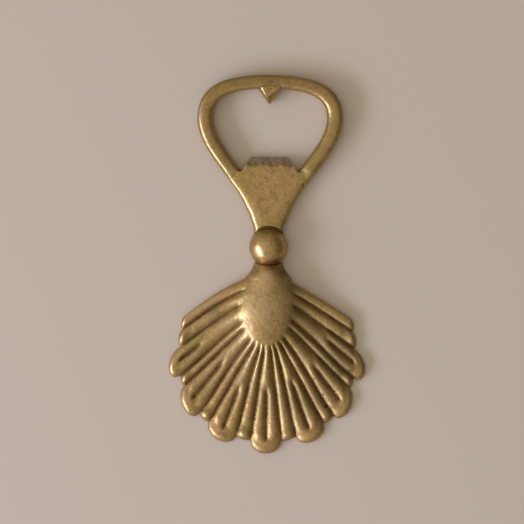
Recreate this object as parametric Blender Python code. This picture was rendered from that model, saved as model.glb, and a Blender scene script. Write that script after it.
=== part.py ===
"""A brass souvenir bottle opener that lies flat on its back.

The loop points to +Y, the shell handle to -Y, and the decorated face is up. Every form is laid out from
the centre of the ball between head and handle, and then placed so that the origin is under the middle of
the whole opener.
"""

import math

import bmesh
import bpy
from mathutils import Vector
from mathutils.geometry import interpolate_bezier

MM = 0.001
FIT_GAP = 0.3 * MM  # free space between two neighbouring forms

# Ball
BALL_DIAMETER = 12.2 * MM
BALL_FLAT = 3.9 * MM  # how much of the ball is missing underneath, where it rests

# Loop. Heights along Y are measured from the centre of the ball.
LOOP_TOP = 54.5 * MM
LOOP_WIDTH = 46.2 * MM
LOOP_WIDEST = 41.0 * MM  # where the loop is widest
CROWN_ROD = 4.3 * MM  # width of the rod at the crown, seen from above
FLANK_ROD = 5.15 * MM
ARM_ROD = 4.8 * MM
FOOT_ROD = 4.3 * MM
ROD_HEIGHT = 4.6 * MM
ROD_FLAT = 0.4 * MM  # how much of the rod is missing underneath
ARM_X = 9.0 * MM  # a point on the straight of the arm, where the web begins to taper
ARM_Y = 20.2 * MM
ARM_SLANT = math.radians(36.9)  # away from the long axis
FOOT_X = 2.6 * MM  # where the arm's line ends, at the ball
FOOT_ABOVE_BALL = 0.4 * MM
FOOT_SLANT = math.radians(20.0)
CROWN_FLATNESS = 16.5 * MM  # how far the crown runs on before it turns down
SHOULDER_FULLNESS = 6.5 * MM
FLANK_FULLNESS = 6.7 * MM
ARM_STRAIGHT = 10.0 * MM
ARM_TURN = 5.0 * MM
FOOT_TURN = 4.0 * MM

# Tooth
TOOTH_REACH = 9.15 * MM  # from the outside of the crown to the tip
TOOTH_WIDTH = 7.2 * MM
TOOTH_OVERLAP = 2.6 * MM  # how far its foot runs over the rod
TOOTH_PROUD = 0.7 * MM  # how far it stands above the rod
TOOTH_UNDERSIDE = 0.6 * MM

# Web and prying lip
WEB_THICKNESS = 4.2 * MM
WEB_EDGE_ROUND = 1.6 * MM
LIP_EDGE = 28.55 * MM  # the prying edge, above the centre of the ball
LIP_WIDTH = 11.8 * MM
LIP_FLARE = math.radians(32)  # how fast the sides of the lip spread
LIP_BEVEL_LENGTH = 3.1 * MM
LIP_EDGE_THICKNESS = 1.6 * MM
ARM_SEAM_ABOVE_ARM = 2.0 * MM  # where the arm leaves the web, along Y above the arm point

# Shell handle. Its lengths along Y are measured down from the top of its neck.
NECK_SINK = 0.4 * MM  # how far the neck reaches up beside the lowest point of the ball
FAN_FOCUS = 11.0 * MM  # the outline of the fan is laid out round this point
ROOT_LOW = 17.7 * MM  # the lower ribs spring from here
ROOT_HIGH = 1.3 * MM  # and the top lobes from here
ROOT_TURN = math.radians(25)  # up to this angle all ribs share the low root
ROOT_CURVE = 1.3  # how late the roots move up as the ribs turn outward
FAN_START = 0.12  # share of a rib that lies hidden in the dome
FAN_DEPTH = 2.5 * MM  # how far the fan runs on below the table before it is cut flat
RIB_ROOT_HEIGHT = 5.2 * MM
RIB_RIM_HEIGHT = 2.7 * MM
RIM_EDGE = 0.9 * MM
RIM_ROUND = 1.7 * MM
RIDGE_SLOPE = 0.42  # depth of the valleys, as a share of an element's half width
GROOVE_SLOPE = 0.30  # depth of the groove down a lobe, in the same way
GROOVE_WIDTH = 0.62  # share of the lobe's width
GROOVE_END = 4.6 * MM  # the groove of a lobe stops this far before its tip
# One half of the fan, from the middle out: kind, angle and radius of its outer edge, and bulge of its tip.
FAN_HALF = (
    ("lobe", 6.3, 44.7 * MM, 4.1 * MM),
    ("rib", 12.4, 44.2 * MM, 0.6 * MM),
    ("lobe", 25.1, 42.9 * MM, 3.7 * MM),
    ("rib", 30.4, 42.1 * MM, 0.6 * MM),
    ("lobe", 43.6, 38.0 * MM, 3.6 * MM),
    ("rib", 48.4, 36.5 * MM, 0.6 * MM),
    ("lobe", 61.1, 31.1 * MM, 4.4 * MM),
    ("rib", 70.1, 28.5 * MM, 1.2 * MM),
    ("smooth", 78.4, 26.7 * MM, 0.9 * MM),
)
# The neck and dome: distance from the top of the neck, half width and height of the crest.
DOME = (
    (0.0, 4.9 * MM, 5.4 * MM),
    (1.5 * MM, 5.0 * MM, 5.6 * MM),
    (3.3 * MM, 6.0 * MM, 6.1 * MM),
    (5.8 * MM, 8.0 * MM, 6.8 * MM),
    (9.3 * MM, 9.4 * MM, 7.4 * MM),
    (13.3 * MM, 9.4 * MM, 7.5 * MM),
    (17.3 * MM, 8.3 * MM, 7.1 * MM),
    (21.3 * MM, 6.2 * MM, 6.2 * MM),
    (24.3 * MM, 3.9 * MM, 5.2 * MM),
    (26.1 * MM, 1.6 * MM, 4.3 * MM),
)

# Facets
ROD_SIDES = 16
CURVE_STEPS = 9
BALL_SIDES = 28
BALL_RINGS = 14
DOME_SIDES = 20
WEB_BEVEL_STEPS = 3
LOBE_LINES = (-1, -0.62, -0.27, 0, 0.27, 0.62)  # places across a lobe, from one edge towards the other
RIB_LINES = (-1, -0.55, 0, 0.55)
RIB_STATIONS = 8  # along a rib, up to where its rim rounds over
RIM_STATIONS = (0.55, 0.2, 0.0)  # and over the rim, as shares of its rounding
SEAM_ANGLE = math.radians(35)  # sharper edges than this stay sharp

BALL_HEIGHT = BALL_DIAMETER / 2 - BALL_FLAT
ROD_CENTRE = (ROD_HEIGHT - ROD_FLAT) / 2
NECK_TOP = NECK_SINK - BALL_DIAMETER / 2
SHELL_TIP = NECK_TOP - FAN_FOCUS - FAN_HALF[0][2] - FAN_HALF[0][3]
BALL_Y = -(LOOP_TOP + SHELL_TIP) / 2  # puts the origin under the middle of the opener


def brass(name, colour, roughness):
    material = bpy.data.materials.new(name)
    material.use_nodes = True
    shader = material.node_tree.nodes["Principled BSDF"]
    shader.inputs["Base Color"].default_value = (*colour, 1.0)
    shader.inputs["Metallic"].default_value = 1.0
    shader.inputs["Roughness"].default_value = roughness
    return material


def add_object(name, bm, material=None):
    """Puts a finished mesh in the scene, with the ball's centre as its own origin."""
    bmesh.ops.recalc_face_normals(bm, faces=bm.faces)
    mesh = bpy.data.meshes.new(name)
    bm.to_mesh(mesh)
    bm.free()
    obj = bpy.data.objects.new(name, mesh)
    obj.location.y = BALL_Y
    bpy.context.collection.objects.link(obj)
    if material:
        mesh.materials.append(material)
        mesh.shade_smooth()
        mesh.set_sharp_from_angle(angle=SEAM_ANGLE)
    return obj


def add_cutter(name, bm):
    obj = add_object(name, bm)
    obj.hide_render = True
    obj.display_type = "WIRE"
    return obj


def combine(obj, other, operation):
    modifier = obj.modifiers.new(f"{operation.lower()} {other.name}", "BOOLEAN")
    modifier.operation = operation
    modifier.object = other


def join_rings(bm, rings):
    """Skins a row of equal rings of points and caps both ends."""
    rows = [[bm.verts.new(point) for point in ring] for ring in rings]
    count = len(rows[0])
    for row, following in zip(rows, rows[1:]):
        for i in range(count):
            j = (i + 1) % count
            bm.faces.new((row[i], row[j], following[j], following[i]))
    bm.faces.new(rows[0])
    bm.faces.new(reversed(rows[-1]))


def smooth_step(value):
    value = min(max(value, 0.0), 1.0)
    return value * value * (3 - 2 * value)


# Loop


def half_centreline():
    """The rod's centre from the crown down to the ball on the +X side, as (point, rod width) pairs."""
    crown = Vector((0, LOOP_TOP - CROWN_ROD / 2))
    flank = Vector(((LOOP_WIDTH - FLANK_ROD) / 2, LOOP_WIDEST))
    arm = Vector((ARM_X, ARM_Y))
    foot = Vector((FOOT_X, BALL_DIAMETER / 2 + FOOT_ABOVE_BALL))
    up_arm = Vector((math.sin(ARM_SLANT), math.cos(ARM_SLANT)))
    up_foot = Vector((math.sin(FOOT_SLANT), math.cos(FOOT_SLANT)))
    spans = (
        (crown, crown + Vector((CROWN_FLATNESS, 0)), flank + Vector((0, SHOULDER_FULLNESS)), flank),
        (flank, flank - Vector((0, FLANK_FULLNESS)), arm + up_arm * ARM_STRAIGHT, arm),
        (arm, arm - up_arm * ARM_TURN, foot + up_foot * FOOT_TURN, foot),
    )
    widths = (CROWN_ROD, FLANK_ROD, ARM_ROD, FOOT_ROD)
    line = []
    for i, span in enumerate(spans):
        points = interpolate_bezier(*span, CURVE_STEPS)
        for k, point in enumerate(points[: None if i == 2 else -1]):
            share = smooth_step(k / (CURVE_STEPS - 1))
            line.append((point.to_2d(), widths[i] + (widths[i + 1] - widths[i]) * share))
    return line


def across(line, i):
    """The unit vector along the line at point i, and the one that points out of the loop."""
    before = line[max(i - 1, 0)][0]
    after = line[min(i + 1, len(line) - 1)][0]
    along = (after - before).normalized()
    if i == 0:
        along = Vector((1, 0))
    return along, Vector((-along.y, along.x))


def arm_seam(line):
    """The index of the first point of the centreline that belongs to the web."""
    seam_height = ARM_Y + ARM_SEAM_ABOVE_ARM
    return next(i for i, (point, _) in enumerate(line) if point.y < seam_height)


def rod_ring(centre, outward, width, grow):
    """A rounded section of the rod with its flat on the table."""
    ring = []
    tall = ROD_HEIGHT - ROD_CENTRE + grow
    for k in range(ROD_SIDES):
        turn = 2 * math.pi * k / ROD_SIDES
        side = outward * (math.cos(turn) * (width / 2 + grow))
        height = max(ROD_CENTRE + math.sin(turn) * tall, -grow)
        ring.append((centre.x + side.x, centre.y + side.y, height))
    return ring


def rod_mesh(grow=0.0):
    """The whole bow, from one seam over the crown to the other. grow makes it thicker all round."""
    line = half_centreline()
    line = line[: arm_seam(line)]
    rings = []
    for i, (point, width) in enumerate(line):
        outward = across(line, i)[1]
        rings.append(rod_ring(point, outward, width, grow))
    mirrored = [[(-x, y, z) for x, y, z in ring] for ring in rings[:0:-1]]
    bm = bmesh.new()
    join_rings(bm, mirrored + rings)
    return bm


# Web


def web_outline():
    """The outline seen from above, on the +X side from the middle of the lip to the ball."""
    line = half_centreline()
    seam = arm_seam(line)
    rod_end, rod_width = line[seam - 1]
    along, outward = across(line[:seam], seam - 1)
    seam_centre = rod_end + along * FIT_GAP
    notch = seam_centre - outward * rod_width / 2
    lip_side = LIP_WIDTH / 2 + (LIP_EDGE - notch.y) * math.tan(LIP_FLARE)
    outline = [Vector((LIP_WIDTH / 2, LIP_EDGE))]
    outline.append(Vector((min(lip_side, notch.x - FIT_GAP), notch.y)))
    outline.append(notch)
    outline.append(seam_centre + outward * rod_width / 2)
    for i in range(seam, len(line)):
        point, width = line[i]
        outline.append(point + across(line, i)[1] * width / 2)
    outline.append(Vector((outline[-1].x, 0)))
    return outline


def web_mesh():
    """The plate with its long sides rounded over and the prying lip bevelled."""
    half = web_outline()
    bm = bmesh.new()
    corners = half + [Vector((-point.x, point.y)) for point in reversed(half)]
    floor = bm.faces.new([bm.verts.new((point.x, point.y, 0)) for point in corners])
    made = bmesh.ops.extrude_face_region(bm, geom=[floor])["geom"]
    lid = [item for item in made if isinstance(item, bmesh.types.BMVert)]
    bmesh.ops.translate(bm, verts=lid, vec=(0, 0, WEB_THICKNESS))
    bmesh.ops.recalc_face_normals(bm, faces=bm.faces)
    seam_height = half[3].y
    sides = [edge for edge in bm.edges if is_rounded_side(edge, seam_height)]
    bmesh.ops.bevel(
        bm, geom=sides, offset=WEB_EDGE_ROUND, segments=WEB_BEVEL_STEPS, profile=0.5, affect="EDGES"
    )
    bevel_drop = WEB_THICKNESS - LIP_EDGE_THICKNESS
    slope = Vector((0, bevel_drop, LIP_BEVEL_LENGTH)).normalized()
    cut = bmesh.ops.bisect_plane(
        bm,
        geom=bm.verts[:] + bm.edges[:] + bm.faces[:],
        dist=1e-7,
        plane_co=(0, LIP_EDGE, LIP_EDGE_THICKNESS),
        plane_no=slope,
        clear_outer=True,
    )
    rim = [item for item in cut["geom_cut"] if isinstance(item, bmesh.types.BMEdge)]
    bmesh.ops.edgeloop_fill(bm, edges=rim)
    return bm


def is_rounded_side(edge, seam_height):
    """True for the upper edges along the two long sides of the web."""
    first, second = (vert.co for vert in edge.verts)
    on_top = min(first.z, second.z) > WEB_THICKNESS / 2
    below_seam = max(first.y, second.y) < seam_height + FIT_GAP
    return on_top and below_seam and first.x * second.x > 0


# Tooth


def tooth_mesh():
    """A five-sided block: the point inside the loop, and its foot over the rod."""
    tip = LOOP_TOP - TOOTH_REACH
    corner = LOOP_TOP - CROWN_ROD
    back = corner + TOOTH_OVERLAP
    half = TOOTH_WIDTH / 2
    plan = ((0, tip), (half, corner), (half, back), (-half, back), (-half, corner))
    bm = bmesh.new()
    floor = bm.faces.new([bm.verts.new((x, y, TOOTH_UNDERSIDE)) for x, y in plan])
    made = bmesh.ops.extrude_face_region(bm, geom=[floor])["geom"]
    lid = [item for item in made if isinstance(item, bmesh.types.BMVert)]
    bmesh.ops.translate(bm, verts=lid, vec=(0, 0, ROD_HEIGHT + TOOTH_PROUD - TOOTH_UNDERSIDE))
    return bm


# Ball


def ball_mesh(grow=0.0):
    radius = BALL_DIAMETER / 2 + grow
    bm = bmesh.new()
    bmesh.ops.create_uvsphere(bm, u_segments=BALL_SIDES, v_segments=BALL_RINGS, radius=radius)
    bmesh.ops.translate(bm, verts=bm.verts, vec=(0, 0, BALL_HEIGHT))
    return bm


# Shell handle


def fan_elements():
    """Every lobe and rib from -X to +X: its kind, its two edges as (angle, radius), and its bulge."""
    angle, radius = FAN_HALF[0][1:3]
    inner = (-math.radians(angle), radius)
    right = []
    for kind, angle, radius, bulge in FAN_HALF:
        outer = (math.radians(angle), radius)
        right.append((kind, inner, outer, bulge))
        inner = outer
    left = []
    for kind, inner, outer, bulge in reversed(right[1:]):
        left.append((kind, (-outer[0], outer[1]), (-inner[0], inner[1]), bulge))
    return left + right


def fan_edge_point(angle, radius):
    return Vector((math.sin(angle) * radius, NECK_TOP - FAN_FOCUS - math.cos(angle) * radius))


def root_point(angle):
    """Where the line of a rib meets the long axis. The higher ribs spring from nearer the ball."""
    last = math.radians(FAN_HALF[-1][1])
    turn = max(0.0, (abs(angle) - ROOT_TURN) / (last - ROOT_TURN))
    return Vector((0, NECK_TOP - ROOT_LOW + (ROOT_LOW - ROOT_HIGH) * turn**ROOT_CURVE))


def fan_columns():
    """Each line of the fan: its root and rim, its place across its element, and the element's kind.

    The last value runs from 0 to 1 towards the free edge of a smooth top lobe, and is negative elsewhere.
    """
    columns = []
    elements = fan_elements()
    for number, (kind, first, second, bulge) in enumerate(elements):
        places = LOBE_LINES if kind == "lobe" else RIB_LINES
        if number == len(elements) - 1:
            places += (1,)
        half_width = (fan_edge_point(*first) - fan_edge_point(*second)).length / 2
        for place in places:
            share = (place + 1) / 2
            angle = first[0] + (second[0] - first[0]) * share
            radius = first[1] + (second[1] - first[1]) * share + bulge * math.sqrt(1 - place * place)
            outside = place * math.copysign(1, angle) if kind == "smooth" else -1
            rim = fan_edge_point(angle, radius)
            columns.append((root_point(angle), rim, place, half_width, kind, outside))
    return columns


def rib_height(column, share, from_rim):
    """Height of the face on one line of the fan, share of the way out and from_rim away from the outline."""
    _, _, place, half_width, kind, outside = column
    crest = RIB_RIM_HEIGHT + (RIB_ROOT_HEIGHT - RIB_RIM_HEIGHT) * (1 - share)
    roundness = math.sqrt(1 - place * place)
    height = crest - RIDGE_SLOPE * half_width * share * (1 - roundness)
    if outside > 0:
        height = RIM_EDGE + (crest - RIM_EDGE) * math.sqrt(1 - outside * outside)
    if kind == "lobe":
        fade = smooth_step((from_rim - GROOVE_END) / GROOVE_END + 0.5)
        hollow = max(0.0, 1 - (place / GROOVE_WIDTH) ** 2)
        height -= GROOVE_SLOPE * half_width * share * hollow * fade
    near_rim = min(from_rim / RIM_ROUND, 1.0)
    return RIM_EDGE + (height - RIM_EDGE) * math.sqrt(1 - (1 - near_rim) ** 2)


def fan_mesh():
    """The ribbed fan as one closed slab whose root lies hidden in the dome."""
    bm = bmesh.new()
    tops = []
    floors = []
    for column in fan_columns():
        root, rim = column[:2]
        length = (rim - root).length
        plain = 1 - RIM_ROUND / length
        shares = [FAN_START + (plain - FAN_START) * k / (RIB_STATIONS - 1) for k in range(RIB_STATIONS)]
        shares += [1 - RIM_ROUND * step / length for step in RIM_STATIONS]
        top = []
        floor = []
        for share in shares:
            point = root.lerp(rim, share)
            height = rib_height(column, share, (1 - share) * length)
            top.append(bm.verts.new((point.x, point.y, height)))
            floor.append(bm.verts.new((point.x, point.y, -FAN_DEPTH)))
        tops.append(top)
        floors.append(floor)
    for row, following, low, low_following in zip(tops, tops[1:], floors, floors[1:]):
        for k in range(len(row) - 1):
            bm.faces.new((row[k], row[k + 1], following[k + 1], following[k]))
            bm.faces.new((low[k], low_following[k], low_following[k + 1], low[k + 1]))
        for k in (0, -1):
            bm.faces.new((row[k], following[k], low_following[k], low[k]))
    for top, floor in ((tops[0], floors[0]), (tops[-1], floors[-1])):
        for k in range(len(top) - 1):
            bm.faces.new((top[k], top[k + 1], floor[k + 1], floor[k]))
    return bm


def dome_mesh():
    """The neck and the smooth dome, as oval rings round the long axis."""
    rings = []
    turns = [2 * math.pi * (k + 0.5) / DOME_SIDES for k in range(DOME_SIDES)]
    for distance, half_width, crest in DOME:
        y = NECK_TOP - distance
        rings.append([(half_width * math.cos(turn), y, crest * math.sin(turn)) for turn in turns])
    bm = bmesh.new()
    join_rings(bm, rings)
    return bm


def table_mesh():
    """A block whose top is the surface that the opener lies on."""
    size = 2 * (LOOP_TOP - SHELL_TIP)
    bm = bmesh.new()
    bmesh.ops.create_cube(bm, size=size)
    bmesh.ops.translate(bm, verts=bm.verts, vec=(0, 0, -size / 2))
    return bm


def build():
    for obj in list(bpy.data.objects):
        bpy.data.objects.remove(obj)

    table = add_cutter("table_cutter", table_mesh())
    ball_seat = add_cutter("ball_seat_cutter", ball_mesh(FIT_GAP))
    rod_seat = add_cutter("rod_seat_cutter", rod_mesh(FIT_GAP))
    dome = add_cutter("dome_body", dome_mesh())

    add_object("loop_frame", rod_mesh(), brass("loop brass", (0.36, 0.25, 0.11), 0.38))

    tooth = add_object("cap_tooth", tooth_mesh(), brass("tooth brass", (0.42, 0.31, 0.12), 0.42))
    combine(tooth, rod_seat, "DIFFERENCE")

    web = add_object("web_plate", web_mesh(), brass("web brass", (0.40, 0.28, 0.13), 0.40))
    combine(web, ball_seat, "DIFFERENCE")

    ball = add_object("ball_knop", ball_mesh(), brass("ball brass", (0.45, 0.33, 0.15), 0.32))
    combine(ball, table, "DIFFERENCE")

    shell = add_object("shell_handle", fan_mesh(), brass("shell brass", (0.38, 0.27, 0.12), 0.36))
    combine(shell, dome, "UNION")
    combine(shell, table, "DIFFERENCE")
    combine(shell, ball_seat, "DIFFERENCE")


build()
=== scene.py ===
# %% [markdown]
# # An old brass bottle opener with a shell handle
#
# The opener is one flat-backed brass casting, a little longer than a hand is wide. A bow of round rod forms
# the mouth. A tooth on the bow and a lip on the web below it grip the cap. Under the web sit a ball and
# a ribbed scallop shell, which is the grip.
#
# Every piece below takes its place and size from the imported model, so first the bench is set up: the
# frame is loaded, and its box is kept, so that no piece can reach outside it. Work on the bench is in
# millimetres, because a casting's radii and dents are easier to think about that way, and each finished
# piece is scaled down to metres once.

# %% Set up the bench
import math

import bmesh
import bpy
import numpy as np
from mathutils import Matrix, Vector
from mathutils.geometry import interpolate_bezier
from mathutils.kdtree import KDTree


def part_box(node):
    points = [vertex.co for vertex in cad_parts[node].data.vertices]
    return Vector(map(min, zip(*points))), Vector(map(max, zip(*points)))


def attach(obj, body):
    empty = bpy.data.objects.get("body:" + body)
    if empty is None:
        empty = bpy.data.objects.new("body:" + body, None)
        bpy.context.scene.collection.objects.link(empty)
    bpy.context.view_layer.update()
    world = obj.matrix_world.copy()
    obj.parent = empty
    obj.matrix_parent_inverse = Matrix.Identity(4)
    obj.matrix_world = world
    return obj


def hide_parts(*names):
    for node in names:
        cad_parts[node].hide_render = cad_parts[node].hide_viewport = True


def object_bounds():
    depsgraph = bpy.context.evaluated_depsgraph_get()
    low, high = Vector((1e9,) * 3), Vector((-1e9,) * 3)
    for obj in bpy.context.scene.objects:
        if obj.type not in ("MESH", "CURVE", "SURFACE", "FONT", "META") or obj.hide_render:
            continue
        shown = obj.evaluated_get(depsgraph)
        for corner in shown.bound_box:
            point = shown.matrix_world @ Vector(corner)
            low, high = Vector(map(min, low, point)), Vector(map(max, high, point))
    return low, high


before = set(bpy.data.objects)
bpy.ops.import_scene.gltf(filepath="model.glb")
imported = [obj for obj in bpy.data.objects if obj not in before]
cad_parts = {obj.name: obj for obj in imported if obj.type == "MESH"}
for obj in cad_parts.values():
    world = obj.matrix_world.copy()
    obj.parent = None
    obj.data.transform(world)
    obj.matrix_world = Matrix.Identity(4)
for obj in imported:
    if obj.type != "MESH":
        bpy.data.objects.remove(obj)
cad_low, cad_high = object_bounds()
MM = 0.001


def box_mm(node):
    low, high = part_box(node)
    return low / MM, high / MM


loop_low, loop_high = box_mm("loop_frame")
web_low, web_high = box_mm("web_plate")
tooth_low, tooth_high = box_mm("cap_tooth")
ball_low, ball_high = box_mm("ball_knop")
shell_low, shell_high = box_mm("shell_handle")
print("nodes on the bench:", sorted(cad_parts))

# %% [markdown]
# The ball sits where head and handle meet, so it is a good place to measure from. Its radius is half the
# width of its box, and its centre hangs one radius below its top. The flat underneath is simply what the
# table cuts off.

# %% Find the ball
ball_radius = (ball_high.x - ball_low.x) / 2
ball_y = (ball_low.y + ball_high.y) / 2
ball_z = ball_high.z - ball_radius
print(f"ball: radius {ball_radius:.2f} mm, centre at y {ball_y:.2f}, z {ball_z:.2f}")

# %% [markdown]
# ## Tools for every piece
#
# A casting has no sharp inside corners: where two forms meet, the sand rounds the corner off. The easiest
# way to get that is to make each form as a plain closed skin, let the skins run into one another, and then
# have a Remesh modifier wrap them all in one new skin of tiny squares. A Smooth modifier then softens
# every corner by a few tenths of a millimetre, and a Displace modifier adds the slow unevenness of a
# pattern that was carved by hand. Where skins cross, Remesh can leave a tiny closed pocket inside the body,
# so at the end only the outer skin is kept.


# %% Skins from rings
def skin_rings(bm, rings):
    """Joins equal rings of points into one closed skin."""
    rows = [[bm.verts.new(point) for point in ring] for ring in rings]
    count = len(rows[0])
    for row, following in zip(rows, rows[1:]):
        for i in range(count):
            j = (i + 1) % count
            bm.faces.new((row[i], row[j], following[j], following[i]))
    bm.faces.new(rows[0])
    bm.faces.new(reversed(rows[-1]))


def smooth_step(value):
    value = min(max(value, 0.0), 1.0)
    return value * value * (3 - 2 * value)


def bell(value, width):
    """1 at zero, fading to nothing on both sides within about two widths."""
    return math.exp(-((value / width) ** 2))


# %% Keeping only the outer skin
def connected_to(bm, start):
    """All vertices that can be reached from start along edges."""
    found = {start}
    edge_of_search = [start]
    while edge_of_search:
        vert = edge_of_search.pop()
        for edge in vert.link_edges:
            other = edge.other_vert(vert)
            if other not in found:
                found.add(other)
                edge_of_search.append(other)
    return found


def remove_pockets(mesh):
    bm = bmesh.new()
    bm.from_mesh(mesh)
    skin = connected_to(bm, max(bm.verts, key=lambda vert: vert.co.y))
    inside = [vert for vert in bm.verts if vert not in skin]
    bmesh.ops.delete(bm, geom=inside, context="VERTS")
    bm.to_mesh(mesh)
    bm.free()
    return len(inside)


# %% Casting the skins into one body
def cast(name, bm, grain, softening, unevenness, unevenness_size):
    """Wraps overlapping skins in one, rounds the corners and returns the finished mesh, in millimetres."""
    bmesh.ops.recalc_face_normals(bm, faces=bm.faces)
    mesh = bpy.data.meshes.new(name)
    bm.to_mesh(mesh)
    bm.free()
    rough = bpy.data.objects.new(name + "_pattern", mesh)
    bpy.context.collection.objects.link(rough)
    wrap = rough.modifiers.new("wrap", "REMESH")
    wrap.mode = "VOXEL"
    wrap.voxel_size = grain
    soften = rough.modifiers.new("soften", "SMOOTH")
    soften.factor = 0.5
    soften.iterations = softening
    clouds = bpy.data.textures.new(name + "_unevenness", "CLOUDS")
    clouds.noise_scale = unevenness_size
    clouds.noise_depth = 2
    sway = rough.modifiers.new("unevenness", "DISPLACE")
    sway.texture = clouds
    sway.texture_coords = "LOCAL"
    sway.mid_level = 0.5
    sway.strength = unevenness
    seen = rough.evaluated_get(bpy.context.evaluated_depsgraph_get())
    made = bpy.data.meshes.new_from_object(seen)
    made.name = name
    bpy.data.objects.remove(rough)
    lost = remove_pockets(made)
    print(f"{name}: {len(made.polygons)} faces, {lost} points in pockets removed")
    return made


# %% Reading and writing all points of a mesh at once
def read_points(mesh):
    points = np.empty(len(mesh.vertices) * 3)
    mesh.vertices.foreach_get("co", points)
    return points.reshape(-1, 3)


def write_points(mesh, points):
    mesh.vertices.foreach_set("co", points.astype(np.float32).ravel())
    mesh.update()


def read_normals(mesh):
    normals = np.empty(len(mesh.vertices) * 3)
    mesh.vertex_normals.foreach_get("vector", normals)
    return normals.reshape(-1, 3)


def read_edges(mesh):
    edges = np.empty(len(mesh.edges) * 2, dtype=np.int64)
    mesh.edges.foreach_get("vertices", edges)
    return edges.reshape(-1, 2)


def write_values(mesh, name, values):
    """Writes a value into every point. A single number goes to all of them."""
    attribute = mesh.attributes.new(name, "FLOAT", "POINT")
    attribute.data.foreach_set("value", np.full(len(mesh.vertices), values, dtype=np.float32))


# %% [markdown]
# Old brass is darkest where no thumb ever polishes it, and brightest on the ridges. To know which is
# which, the skin is averaged with its neighbours until it is a soft version of itself. A point that lies
# below that soft skin is in a hollow, and a point above it is on a ridge. The signed distance is written
# into the mesh, where the finish can read it.


# %% Hollows and ridges
def average_with_neighbours(values, edges, rounds):
    first, second = edges.T
    count = len(values)
    ties = np.bincount(first, minlength=count) + np.bincount(second, minlength=count)
    for _ in range(rounds):
        columns = []
        for axis in range(values.shape[1]):
            total = np.bincount(first, values[second, axis], count)
            total += np.bincount(second, values[first, axis], count)
            columns.append(total / ties)
        values = (values + np.stack(columns, axis=1)) / 2
    return values


def hollow_depth(mesh, rounds):
    """How far each point lies below the softened skin, in millimetres. Ridges are negative."""
    points = read_points(mesh)
    soft = average_with_neighbours(points, read_edges(mesh), rounds)
    return ((soft - points) * read_normals(mesh)).sum(axis=1)


# %% [markdown]
# Where two pieces meet, such as round the foot of the ball, they are darkened, partly for grime in the
# joint and partly as painted shade that the one piece casts on the other. For that, each point near a
# neighbour asks a k-d tree, a structure that finds nearest points quickly, how far off the neighbour is.


# %% Seams between neighbours
def near_neighbour(mesh, neighbour, reach):
    """1 where the mesh meets its neighbour, fading to 0 at about twice the reach, in millimetres."""
    others = read_points(neighbour)
    tree = KDTree(len(others))
    for i, point in enumerate(others):
        tree.insert(point, i)
    tree.balance()
    low, high = others.min(axis=0) - 2 * reach, others.max(axis=0) + 2 * reach
    points = read_points(mesh)
    close = np.zeros(len(points))
    for i in np.where(((points > low) & (points < high)).all(axis=1))[0]:
        close[i] = bell(tree.find(points[i])[2], reach)
    return close


# %% [markdown]
# The last step is the same for every piece: nothing may reach below the table or outside the imported box,
# the values for wear, grime, painted shade and painted highlights are written, and the mesh is scaled to
# metres. The lowest millimetre of every side is painted darker towards the table. The finish itself is
# made further down, once, for all pieces.


# %% Finishing a piece
TABLE_SNAP = 0.06  # points this close to the table are laid flat on it
BROAD_ROUNDS = 60  # rounds of averaging that bring out the wide hollows
FINE_ROUNDS = 8  # and the narrow creases
# the sides are painted darker over this height above the table
FOOT_HEIGHT = 1.3
FOOT_DARKENING = 0.8
PAINTED_HIGHLIGHT_DEPTH = 0.6  # a place with a painted highlight counts as standing this much prouder than it does
pieces = []


def fettle(name, mesh, nodes, tarnish=0.0, grime_and_shade=0.0, dull=0.0, painted_highlight=0.0):
    """Turns a casting into a piece that stands for the named nodes.

    tarnish is 1 where the brass is grey, the grime value is 1 where the brass is dirty and where shade is
    painted, dull is added roughness, and the worn value is 1 where a highlight is painted: such a place
    counts as a ridge and is not darkened at its foot.
    """
    points = read_points(mesh)
    points[:, 2] = np.where(points[:, 2] < TABLE_SNAP, 0.0, points[:, 2])
    write_points(mesh, points)
    # a painted highlight is taken off the hollow value, so the finish treats that place as a ridge
    write_values(mesh, "hollow_and_highlight", hollow_depth(mesh, BROAD_ROUNDS) - PAINTED_HIGHLIGHT_DEPTH * painted_highlight)
    write_values(mesh, "crease", hollow_depth(mesh, FINE_ROUNDS))
    write_values(mesh, "tarnish", tarnish)
    foot = FOOT_DARKENING * np.clip(1 - points[:, 2] / FOOT_HEIGHT, 0, 1) * (1 - painted_highlight)
    write_values(mesh, "grime_and_shade", np.maximum(foot, grime_and_shade))
    write_values(mesh, "dull", dull)
    write_points(mesh, np.clip(points * MM, cad_low, cad_high))
    mesh.shade_smooth()
    piece = bpy.data.objects.new(name, mesh)
    bpy.context.collection.objects.link(piece)
    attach(piece, "root")
    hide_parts(*nodes)
    pieces.append(piece)
    low, high = points.min(axis=0).round(2), points.max(axis=0).round(2)
    print(f"{name}: {len(mesh.polygons)} faces, box {low} {high}")


# %% [markdown]
# ## The bow
#
# On the real opener the bow is a rod of a slightly squared oval section, flat where it lies on the table.
# It is thickest at the flanks and a little thinner over the crown. A rod like this is best made by moving
# one section along a line. The line is three soft curves on one side, from the crown to the flank, down
# the straight arm and in towards the ball, and the other side is its mirror image.

# %% The line of the bow
CROWN_ROD = 4.3
FLANK_ROD = 5.15
ARM_ROD = 4.8
FOOT_ROD = 4.3
FLANK_ABOVE_BALL = 41.0
ARM_X = 9.0
ARM_ABOVE_BALL = 20.2
ARM_SLANT = math.radians(36.9)
FOOT_X = 2.6
FOOT_GAP = 0.4  # the line ends this far above the ball
FOOT_SLANT = math.radians(20.0)
# How far the line runs on straight at each end of its three curves.
CROWN_FLATNESS = 16.5
SHOULDER_FULLNESS = 6.5
FLANK_FULLNESS = 6.7
ARM_STRAIGHT = 10
ARM_TURN = 5
FOOT_TURN = 4
CURVE_STEPS = 70


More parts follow.
